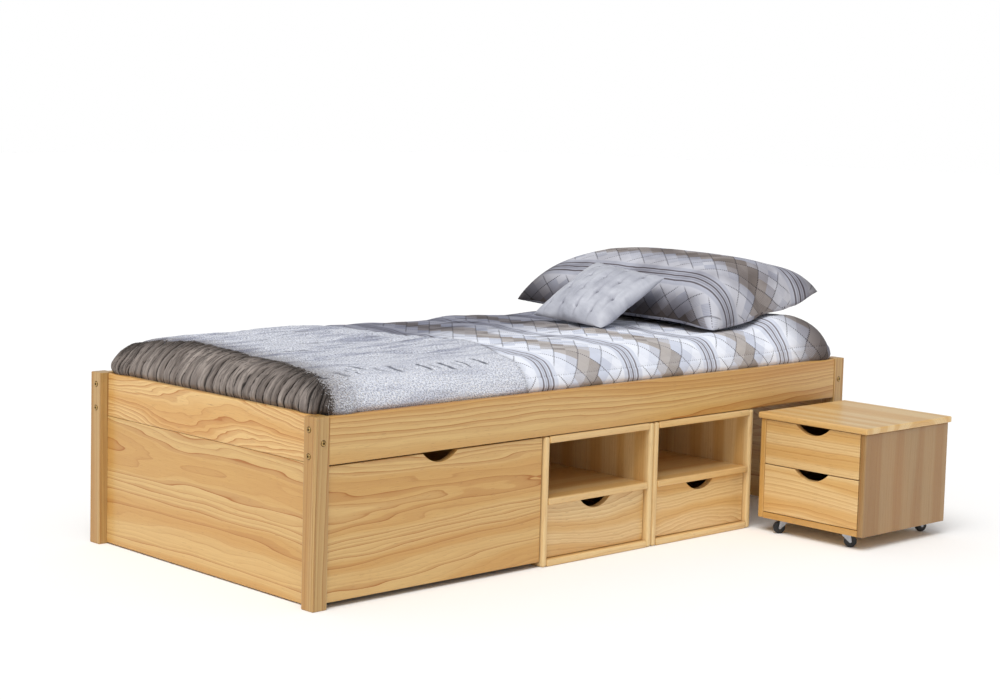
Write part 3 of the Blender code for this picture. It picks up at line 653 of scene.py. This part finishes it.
def spread_look(s):
    flat = flat_cloth(s)
    value = {key: s.attribute(key) for key in FIELDS}
    along, across, _ = s.xyz(flat)
    quilt, stitch = argyle_on(s, s.vector("ADD", flat, (-FIRST_BAND, 0.02, 0.0)))
    soil = s.noise(flat, (6, 14, 1), 3.0)
    quilt = s.mix(s.between(soil, 0.35, 0.75, 0.0, 0.18), quilt, PALE)
    piping = s.between(s.distance(value["run"], PIPING), 0.0006, 0.0020, 0.45, 0.0)
    dots = s.between(s.math("FRACT", s.times(along, 110.0)), 0.5, 0.7)
    piping = s.times(piping, dots)
    quilt = s.mix(piping, quilt, THREAD)
    # painted shade: the quilt is drawn darker towards the back of the bed, at the head end, and in blotches
    # on the top
    quilt = s.tint(s.between(across, 0.36, 0.66), quilt, srgb(158, 157, 164))
    quilt = s.tint(s.between(along, 1.84, 2.00), quilt, srgb(146, 141, 142))
    shadowy = s.noise(flat, (5, 20, 1), 2.0)
    shadowy = s.times(s.between(shadowy, 0.52, 0.68), s.between(across, 0.16, 0.40, 0.10, 0.65))
    quilt = s.tint(shadowy, quilt, srgb(134, 130, 134))

    slant = 0.62
    turned = s.make("VectorRotate", {"Vector": flat, "Angle": slant}, rotation_type="Z_AXIS").outputs[0]
    puff = s.noise(turned, (190, 330, 1), 1.0)
    gap = s.noise(s.vector("ADD", turned, (7.3, 2.9, 0.0)), (170, 360, 1), 1.0)
    streak = s.noise(flat, (4, 26, 1), 2.0)
    warm = s.noise(s.vector("ADD", flat, (3.1, 8.7, 0.0)), (140, 210, 1), 1.0)
    # painted shade: the hollows of the puckers are drawn grey and their tops white
    plain = s.mix(s.between(puff, 0.42, 0.54), srgb(184, 187, 200), WHITE)
    plain = s.mix(s.between(warm, 0.58, 0.64, 0.0, 0.35), plain, srgb(244, 238, 226))
    inland = s.between(across, 0.12, 0.30, 0.35, 0.85)
    # painted shade: the gaps between the puckers are drawn dark, and long streaks and valleys grey, away from
    # the front edge
    plain = s.mix(s.times(s.between(gap, 0.57, 0.63), inland), plain, srgb(104, 106, 124))
    streaks = s.times(s.between(streak, 0.46, 0.66), inland)
    plain = s.tint(streaks, plain, srgb(190, 192, 204))
    valley = s.noise(s.vector("ADD", flat, (5.4, 1.2, 0.0)), (5, 42, 1), 3.0, 0.6)
    valley = s.times(s.between(valley, 0.58, 0.70), s.between(across, 0.16, 0.36, 0.0, 0.75))
    plain = s.mix(valley, plain, srgb(112, 114, 128))
    # painted shade: the open pleats on the shoulder are drawn dark, each to its own strength and reach
    own = s.lucky(W=s.math("FLOOR", s.plus(value["slot_step"], 0.5)))
    slot = s.falling(s.from_whole(value["slot_step"]), 0.07, 0.26)
    slot = s.times(slot, s.between(own, 0.15, 0.85, 0.05, 0.90))
    reach = s.math("SUBTRACT", s.math("ABSOLUTE", value["slot_off"]), s.times(own, 0.020))
    slot = s.times(slot, s.falling(reach, 0.004, 0.022))
    plain = s.mix(slot, plain, srgb(88, 92, 104))
    fringe = s.plus(value["to_foot"], s.between(gap, 0.35, 0.65, -0.05, 0.05))
    fringe = s.falling(fringe, 0.0, 0.10)
    plain = s.tint(fringe, plain, srgb(178, 172, 166))

    gather = s.make("UVMap", uv_map="gather").outputs[0]
    # painted sheen: lighter streaks along the satin pleats stand in for their highlights
    sheen = s.noise(gather, (60, 9, 1), 2.0)
    satin = s.mix(s.between(sheen, 0.3, 0.7), srgb(124, 114, 108), srgb(168, 157, 149))
    patch = s.between(s.noise(gather, (26, 7, 1), 1.0), 0.42, 0.62, 0.0, 0.5)
    satin = s.tint(patch, satin, srgb(150, 142, 138))
    # painted shade: the gathers are darker by the seam, where their folds crowd together
    seam_shade = s.plus(value["to_foot"], s.times(sheen, 0.05))
    seam_shade = s.between(seam_shade, -0.035, 0.02, 0.0, 0.8)
    satin = s.tint(seam_shade, satin, srgb(112, 106, 104))
    strands = s.distance(s.noise(gather, (120, 12, 1), 2.0, 0.6), 0.5)
    by_seam = s.between(value["to_foot"], -0.13, -0.02, 0.15, 1.0)
    strand = s.times(s.falling(strands, 0.012, 0.036), by_seam)
    mid = s.falling(s.math("ABSOLUTE", value["mid_line"]), 0.12, 0.42)
    mid = s.times(s.times(mid, value["mid_share"]), s.math("SQRT", by_seam))
    wide = s.between(s.noise(gather, (35, 16, 1), 1.0), 0.35, 0.65, 0.55, 1.7)
    deep = s.math("DIVIDE", s.math("ABSOLUTE", value["deep_line"]), wide)
    deep = s.falling(deep, 0.10, 0.27)
    deep = s.times(deep, s.math("MULTIPLY_ADD", value["deep_share"], 0.7, 0.4), clamp=True)
    fold = s.math("MAXIMUM", s.times(mid, 0.75), deep)
    fold = s.math("MAXIMUM", fold, s.times(strand, 0.6))
    slub = s.noise(flat, (80, 900, 1), 2.0)
    satin = s.mix(s.between(slub, 0.4, 0.7, 0.0, 0.2), satin, srgb(96, 88, 84))
    # painted shade: the deep creases, the finer folds and the strands by the seam are drawn near black
    satin = s.mix(s.times(fold, 0.93), satin, SHADE)

    ragged = s.plus(value["to_foot"], s.between(puff, 0.3, 0.7, -0.010, 0.010))
    ragged = s.plus(ragged, s.between(strands, 0.0, 0.2, -0.006, 0.006))
    colour = s.mix(s.between(ragged, -0.002, 0.002), satin, plain)
    colour = s.mix(s.between(value["to_quilt"], -0.0015, 0.0015), colour, quilt)
    # painted shade: the deep creases of the gathers and the seam's dip are drawn near black
    colour = s.mix(s.times(value["crease_shade"], 0.92, clamp=True), colour, SHADE)
    is_plain = s.times(s.between(value["to_foot"], -0.002, 0.003),
                      s.falling(value["to_quilt"], -0.002, 0.002))
    slack = s.noise(turned, (26, 70, 1), 2.0)
    crinkle = s.math("SUBTRACT", puff, s.times(gap, 0.8))
    height = s.math("MULTIPLY_ADD", crinkle, is_plain, s.times(stitch, 0.2))
    is_gathered = s.between(value["to_foot"], -0.003, 0.002, 0.8, 0.0)
    height = s.math("SUBTRACT", height, s.times(fold, is_gathered))
    height = s.plus(height, slack)
    normal = s.bump(height, 0.0035, 0.8)
    normal = s.bump(weave(s, flat), 0.0002, 0.4, normal)
    rough = s.between(value["to_foot"], -0.004, 0.004, 0.60, 0.90)
    return {"Base Color": colour, "Roughness": rough, "Normal": normal}


def make_spread():
    piece = bedspread()
    dull = {"Sheen Weight": 0.04, "Specular IOR Level": 0.15}
    dress(piece, material("bedspread cloth", spread_look, **dull))
    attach(piece, "frame")
    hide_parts("bedspread")


# ---------------------------------------------------------------- mattress
def rounded_block(name, low, high, radius, step, puff):
    """A closed block with round edges, as grids on six sides welded together. puff moves its points."""
    half, centre = (np.array(high) - low) / 2, (np.array(high) + low) / 2
    bm = bmesh.new()
    for axis in range(3):
        others = [i for i in range(3) if i != axis]
        lines = [np.linspace(-half[i], half[i], max(4, int(2 * half[i] / step))) for i in others]
        for side in (-1, 1):
            p = np.zeros((len(lines[0]), len(lines[1]), 3))
            p[..., others[0]], p[..., others[1]] = np.meshgrid(*lines, indexing="ij")
            p[..., axis] = side * half[axis]
            core = np.clip(p, radius - half, half - radius)
            away = p - core
            p = core + radius * away / np.maximum(np.linalg.norm(away, axis=2, keepdims=True), 1e-9)
            p = puff(p) + centre
            verts = [[bm.verts.new(q) for q in row] for row in p]
            for i in range(len(verts) - 1):
                for j in range(len(verts[0]) - 1):
                    bm.faces.new((verts[i][j], verts[i + 1][j], verts[i + 1][j + 1], verts[i][j + 1]))
    bmesh.ops.remove_doubles(bm, verts=bm.verts, dist=0.0006)
    bmesh.ops.recalc_face_normals(bm, faces=bm.faces)
    mesh = bpy.data.meshes.new(name)
    bm.to_mesh(mesh)
    bm.free()
    return smooth_object(name, mesh)


def ticking_look(s):
    place = s.place()
    _, across, _ = s.xyz(place)
    stripe = s.between(s.math("ABSOLUTE", s.math("SINE", s.times(across, 150.0))), 0.90, 0.97)
    speck = s.specks(700.0)
    colour = s.mix(s.times(stripe, 0.7), srgb(232, 231, 226), srgb(118, 128, 150))
    colour = s.mix(s.between(speck, 0.3, 0.8, 0.0, 0.2), colour, srgb(196, 192, 184))
    return {"Base Color": colour, "Normal": s.bump(weave(s, place, 700.0), 0.0003, 0.5)}


def make_mattress():
    quilt_size = 0.11

    def quilting(p):
        top = soft(np.abs(p[..., 2]), 0.055, 0.066)
        rising = np.sin(math.pi * (p[..., 0] + p[..., 1]) / quilt_size)
        falling = np.sin(math.pi * (p[..., 0] - p[..., 1]) / quilt_size)
        dent = 0.0035 * top * (1 - np.abs(rising * falling) ** 0.5)
        p = p.copy()
        p[..., 2] -= np.sign(p[..., 2]) * dent
        return p

    low, high = np.array(MATTRESS_LO) + (0.006, 0.006, 0.001), np.array(MATTRESS_HI) - 0.006
    piece = rounded_block("mattress_ticking", low, high, 0.050, 0.018, quilting)
    look = material("mattress ticking", ticking_look, **{"Roughness": 0.9, "Sheen Weight": 0.2})
    dress(piece, look)
    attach(piece, "frame")
    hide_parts("mattress")


# ---------------------------------------------------------------- pillow and cushion
def slip(name, length, width, steps, crown):
    """Two layers of cloth sewn round the edge, a little puffed: length along X, width along Y."""
    nx, ny = steps
    u, v = np.meshgrid(np.linspace(-1, 1, nx), np.linspace(-1, 1, ny), indexing="ij")
    top = np.stack([u * length / 2, v * width / 2, crown(u, v)], -1).reshape(-1, 3)
    under = top * (1, 1, -1)
    edge = ((np.abs(u) == 1) | (np.abs(v) == 1)).ravel()
    index = np.full(nx * ny, -1)
    index[~edge] = nx * ny + np.arange((~edge).sum())
    index[edge] = np.arange(nx * ny)[edge]
    faces = grid_faces(nx, ny)
    points = np.concatenate([top, under[~edge]])
    flat = np.concatenate([top[:, :2], under[~edge][:, :2]])
    return mesh_object(name, points, np.concatenate([faces, index[faces][:, ::-1]]), {"cloth": flat})


def inflate(obj, pressure, frames=22, stiff=14.0, bend=0.4):
    """Blows the slip up as cloth, so that its seams pucker, and keeps the last shape."""
    modifier = obj.modifiers.new("inflate", "CLOTH")
    cloth = modifier.settings
    cloth.quality, cloth.mass = 6, 0.25
    cloth.tension_stiffness = cloth.compression_stiffness = stiff
    cloth.shear_stiffness, cloth.bending_stiffness = stiff / 3, bend
    cloth.use_pressure, cloth.uniform_pressure_force = True, pressure
    cloth.effector_weights.gravity = 0
    modifier.point_cache.frame_start, modifier.point_cache.frame_end = 1, frames
    for number in range(1, frames + 1):
        bpy.context.scene.frame_set(number)
    points = mesh_points(obj.evaluated_get(bpy.context.evaluated_depsgraph_get()).to_mesh())
    obj.modifiers.remove(modifier)
    bpy.context.scene.frame_set(1)
    return points


def fit_size(points, length, width, above, below):
    """Scales a shape to its length and width about its middle, and to its height above and below the seam."""
    low, high = points.min(0), points.max(0)
    flat = (points - (low + high) / 2) * (np.array((length, width, 1)) / np.maximum(high - low, 1e-6))
    flat[:, 2] = np.where(points[:, 2] > 0, points[:, 2] * above / high[2], points[:, 2] * below / -low[2])
    return flat


def plump(piece, size, pressure, blown):
    """The piece's finished shape: blown is how much of the blown cloth shows over the smooth shape."""
    smooth_shape = fit_size(mesh_points(piece.data), *size)
    return smooth_shape * (1 - blown) + fit_size(inflate(piece, pressure), *size) * blown


def along_surface(piece, points, steps):
    """Redoes the cloth map as distances run over each layer, so the pattern keeps its size on steep parts."""
    count = steps[0] * steps[1]
    inner = np.zeros(steps, bool)
    inner[1:-1, 1:-1] = True
    top = points[:count].reshape(*steps, 3)
    under = top.copy()
    under[inner] = points[count:]
    corners = corner_points(piece.data)
    half = len(corners) // 2
    index = np.arange(count)
    both = []
    for layer in (top, under):
        runs = []
        for axis in (0, 1):
            gaps = np.linalg.norm(np.diff(layer, axis=axis), axis=2)
            run = np.insert(np.cumsum(gaps, axis), 0, 0, axis)
            runs.append(run - np.take(run, [steps[axis] // 2], axis))
        both.append(np.stack(runs, -1).reshape(-1, 2))
    place = np.concatenate([index, index[inner.ravel()]])
    flat = np.concatenate([both[0][place[corners[:half]]], both[1][place[corners[half:]]]])
    piece.data.uv_layers["cloth"].data.foreach_set("uv", flat.ravel())


def put(obj, points, centre, turn):
    """Turns and places the points, then lets what would sink into the bed lie flat on it."""
    points = points @ np.array(turn.to_matrix()).T + centre
    give = 0.012
    near = spread_top(points[:, 0] - BED_FOOT, points[:, 1] - BED_SIDE) + 0.007
    above = points[:, 2] - near - give
    points[:, 2] = np.where(points[:, 2] < near + give, near + give * np.exp(above / give), points[:, 2])
    obj.data.vertices.foreach_set("co", points.ravel())
    obj.data.update()
    smooth = obj.modifiers.new("fine", "SUBSURF")
    smooth.levels = smooth.render_levels = 1


def euler(x, y, z):
    return Euler([math.radians(a) for a in (x, y, z)])


def pillow_look(s):
    flat = flat_cloth(s, (0.165, 0.0, 0.0))
    colour, stitch = argyle_on(s, flat)
    colour = s.tint(1.0, colour, srgb(210, 208, 209))
    cloud = s.noise(flat, (9, 7, 1), 3.0)
    colour = s.tint(s.between(cloud, 0.35, 0.75, 0.0, 0.8), colour, srgb(188, 184, 186))
    along, across, _ = s.xyz(flat_cloth(s))
    # painted shade: the pillow is darker at its head end and far side, which are turned from the light
    far = s.math("MAXIMUM", s.between(along, 0.16, 0.26), s.between(across, 0.24, 0.40))
    colour = s.tint(s.times(far, 0.9), colour, srgb(124, 117, 114))
    # painted shade: the low near face, under the pillow's overhang, is darker
    low = s.falling(s.plus(along, s.times(cloud, 0.10)), -0.24, -0.15)
    low = s.times(low, s.between(across, -0.42, -0.30, 0.0, 0.95))
    colour = s.tint(low, colour, srgb(132, 125, 124))
    normal = s.bump(stitch, 0.001, 0.5)
    normal = s.bump(weave(s, flat), 0.0002, 0.4, normal)
    return {"Base Color": colour, "Normal": normal}


def cushion_look(s):
    flat = flat_cloth(s)
    cloud = s.noise(flat, (14, 10, 1), 3.0)
    thread = s.noise(flat, (1200, 60, 1), 1.0)
    colour = s.mix(s.between(cloud, 0.3, 0.7), srgb(190, 192, 201), srgb(160, 162, 173))
    colour = s.mix(s.between(thread, 0.35, 0.75, 0.0, 0.2), colour, srgb(216, 218, 226))
    # painted shade: the pleats round the tufts are drawn darker
    colour = s.mix(s.times(s.attribute("pleat"), 0.45, clamp=True), colour, srgb(120, 121, 134))
    colour = s.mix(s.times(s.attribute("stitch"), 0.75, clamp=True), colour, srgb(92, 92, 106))
    return {"Base Color": colour, "Roughness": s.between(thread, 0.3, 0.7, 0.36, 0.5),
            "Normal": s.bump(thread, 0.0003, 0.4)}


def pillow_crown(u, v):
    """The pillow's fullness, a little less towards the far side and the head end."""
    full = (1 - np.abs(u) ** np.where(u > 0, 3.6, 3.0)) * (1 - np.abs(v) ** 9)
    return 0.05 * full ** 0.55 * (1 - 0.16 * soft(v, 0.2, 1.1)) * (1 - 0.10 * soft(u, 0.1, 0.6))


def make_pillow():
    centre = (1.838 + BED_FOOT, 0.512 + BED_SIDE, 0.618)
    steps = (70, 108)
    piece = slip("pillow_case", 0.56, 0.88, steps, pillow_crown)
    points = plump(piece, (0.500, 0.830, 0.158, 0.022), 5.0, 0.25)
    along_surface(piece, points, steps)
    points[:, 2] -= 0.013 * soft(-points[:, 1], 0.26, 0.41) * (1 - soft(points[:, 0], 0.0, 0.2))
    points[:, 2] += 0.022 * soft(points[:, 0], 0.15, 0.25) + 0.008 * soft(points[:, 1], 0.22, 0.42)
    put(piece, points, centre, euler(0, -7, -1))
    dull = {"Roughness": 0.82, "Specular IOR Level": 0.2}
    dress(piece, material("pillow case", pillow_look, **dull))
    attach(piece, "frame")
    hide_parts("pillow")


def make_cushion():
    centre = (1.480 + BED_FOOT, 0.4635 + BED_SIDE, 0.6515)
    piece = slip("tufted_cushion", 0.34, 0.34, (90, 90),
                 lambda u, v: 0.03 * ((1 - u ** 2) * (1 - v ** 2)) ** 0.45)
    flat = mesh_points(piece.data)
    points = plump(piece, (0.290, 0.290, 0.056, 0.044), 6.0, 0.30)
    pinch = np.hypot(flat[:, 0], flat[:, 1]) / 0.24
    points[:, :2] *= (0.965 + 0.05 * pinch ** 4)[:, None]
    tuft = np.zeros(len(points))
    pleat = np.zeros(len(points))
    for i in range(4):
        for j in range(4):
            off_x = flat[:, 0] - (i - 1.5) * 0.080
            off_y = flat[:, 1] - (j - 1.5 + 0.25 * (-1) ** i) * 0.072
            tuft = np.maximum(tuft, np.exp(-(np.hypot(off_x, off_y) / 0.010) ** 2))
            pleat = np.maximum(pleat, np.exp(-(off_y / 0.0045) ** 2 - (off_x / 0.045) ** 2))
    slack = ripple(flat[:, 1] * 75, flat[:, 0] * 7, 51) * 0.0028
    points[:, 2] -= np.sign(flat[:, 2]) * (0.0060 * tuft + 0.0040 * pleat + slack)
    add_values(piece.data, {"stitch": np.where(tuft > 0.8, tuft, 0.0), "pleat": pleat})
    put(piece, points, centre, euler(4.9, -30.6, -5.4))
    dress(piece, material("cushion satin", cushion_look, **{"Sheen Weight": 0.3, "Sheen Roughness": 0.35}))
    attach(piece, "frame")
    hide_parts("cushion")


make_spread()
make_mattress()
make_pillow()
make_cushion()


# ---------------------------------------------------------------- bolts
END_BOLTS = (0.442, 0.377)     # heights of the bolts into an end board
SIDE_BOLT = 0.410              # height of the bolt into a side rail


def bolt(name, centre, outward, radius=0.0080):
    """A connector bolt's cap head in its hole: a dark rim, a domed ring and a hexagon socket. The dark rim is
    partly oxide and partly painted shade of the hole, and the dark socket is painted shade.
    """
    rings = [(radius, 0.0), (radius, 0.0004), (radius * 0.84, 0.0005), (radius * 0.78, 0.0016),
             (radius * 0.55, 0.0024)]
    count = 24
    turn = np.arange(count) * math.tau / count
    socket = 0.0027
    hexagon = socket / np.cos((turn + math.pi / 6) % (math.pi / 3) - math.pi / 6)
    loops = [np.stack([r * np.cos(turn), r * np.sin(turn), turn * 0 + h], -1) for r, h in rings]
    for height in (0.0023, 0.0006):
        loops.append(np.stack([hexagon * np.cos(turn), hexagon * np.sin(turn), turn * 0 + height], -1))
    points = np.concatenate(loops)
    here = np.arange(count * (len(loops) - 1)).reshape(-1, count)
    after = np.roll(here, -1, axis=1)
    faces = np.stack([here, after, after + count, here + count], -1).reshape(-1, 4).tolist()
    faces.append(tuple((len(loops) - 1) * count + j for j in range(count)))
    faces.append(tuple(reversed(range(count))))
    turned = np.array(Vector(outward).to_track_quat("Z", "Y").to_matrix())
    # how dark each ring is drawn: painted shade down in the socket, and at the rim painted shade of the hole
    # with some oxide
    shade = np.repeat((1.0, 1.0, 0.6, 0.0, 0.0, 0.3, 1.0), count)
    piece = mesh_object(name, points @ turned.T + centre, faces, None, {"shade": shade})
    edge = piece.modifiers.new("edges", "BEVEL")
    edge.width, edge.segments = 0.00025, 2
    return piece


def make_bolts():
    brass = material("brass", brass_look, Metallic=1.0)
    for end in ("foot", "head"):
        for side in ("front", "back"):
            low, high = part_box(f"post_{end}_{side}")
            x_out, y_out = (-1 if end == "foot" else 1), (-1 if side == "front" else 1)
            x_face, y_face = (low[0] if x_out < 0 else high[0]), (low[1] if y_out < 0 else high[1])
            proud = 0.0001
            spots = [((x_face + x_out * proud, y_face - y_out * 0.0255, z), (x_out, 0, 0)) for z in END_BOLTS]
            spots.append(((x_face - x_out * 0.0245, y_face + y_out * proud, SIDE_BOLT), (0, y_out, 0)))
            for number, (centre, outward) in enumerate(spots, 1):
                piece = bolt(f"bolt_{end}_{side}_{number}", centre, outward)
                dress(piece, brass)
                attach(piece, "frame")


make_bolts()


# ---------------------------------------------------------------- floor, light and camera
def floor_look(s):
    return {"Base Color": s.mix(s.specks(1.5, 3.0), (0.985, 0.985, 0.98), (0.97, 0.97, 0.965))}


def make_floor():
    size = 30.0
    points = [(-size, -size, 0), (size, -size, 0), (size, size, 0), (-size, size, 0)]
    floor = mesh_object("floor", points, [(0, 1, 2, 3)])
    dress(floor, material("pale floor", floor_look, **{"Roughness": 0.9, "Specular IOR Level": 0.0}))


def make_light():
    """Soft studio light: a white surround, weaker from the head end, and a broad sun from the foot end."""
    world = bpy.data.worlds.new("studio")
    world.use_nodes = True
    s = Shader(world.node_tree)
    shown = s.make("Background", {"Color": (1, 1, 1, 1), "Strength": 1.0})
    from_head = s.xyz(s.make("TexCoord").outputs["Generated"])[0]
    strength = s.math("MULTIPLY_ADD", from_head, -0.16, 0.56)
    light = s.make("Background", {"Color": (0.97, 0.98, 1.0, 1), "Strength": strength})
    seen = s.make("LightPath").outputs["Is Camera Ray"]
    both = s.make("MixShader", {0: seen, 1: light.outputs[0], 2: shown.outputs[0]})
    world.node_tree.links.new(both.outputs[0], world.node_tree.nodes["World Output"].inputs["Surface"])
    bpy.context.scene.world = world
    data = bpy.data.lights.new("sun", "SUN")
    data.energy, data.angle, data.color = 0.62 * math.pi, math.radians(40), (1.0, 0.99, 0.97)
    sun = add_object("sun", data)
    sun.rotation_euler = Vector((-0.46, -0.25, 0.85)).to_track_quat("Z", "Y").to_euler()
    bpy.context.scene.view_settings.view_transform = "Standard"


def make_camera():
    """The camera that a fit of the bed's corners gave, placed from the bed's own foot corner."""
    data = bpy.data.cameras.new("camera")
    data.lens, data.sensor_width = 73.26, 36.0
    data.shift_x, data.shift_y = 0.10, -0.06
    camera = add_object("camera", data)
    right = Vector((0.746792, -0.664693, 0.022009))
    up = Vector((0.046681, 0.085401, 0.995253))
    back = right.cross(up)
    matrix = Matrix((right, up, back)).transposed().to_4x4()
    matrix.translation = (BED_FOOT - 3.05125, BED_SIDE - 3.70377, 1.24120)
    camera.matrix_world = matrix
    bpy.context.scene.camera = camera


make_floor()
make_light()
make_camera()
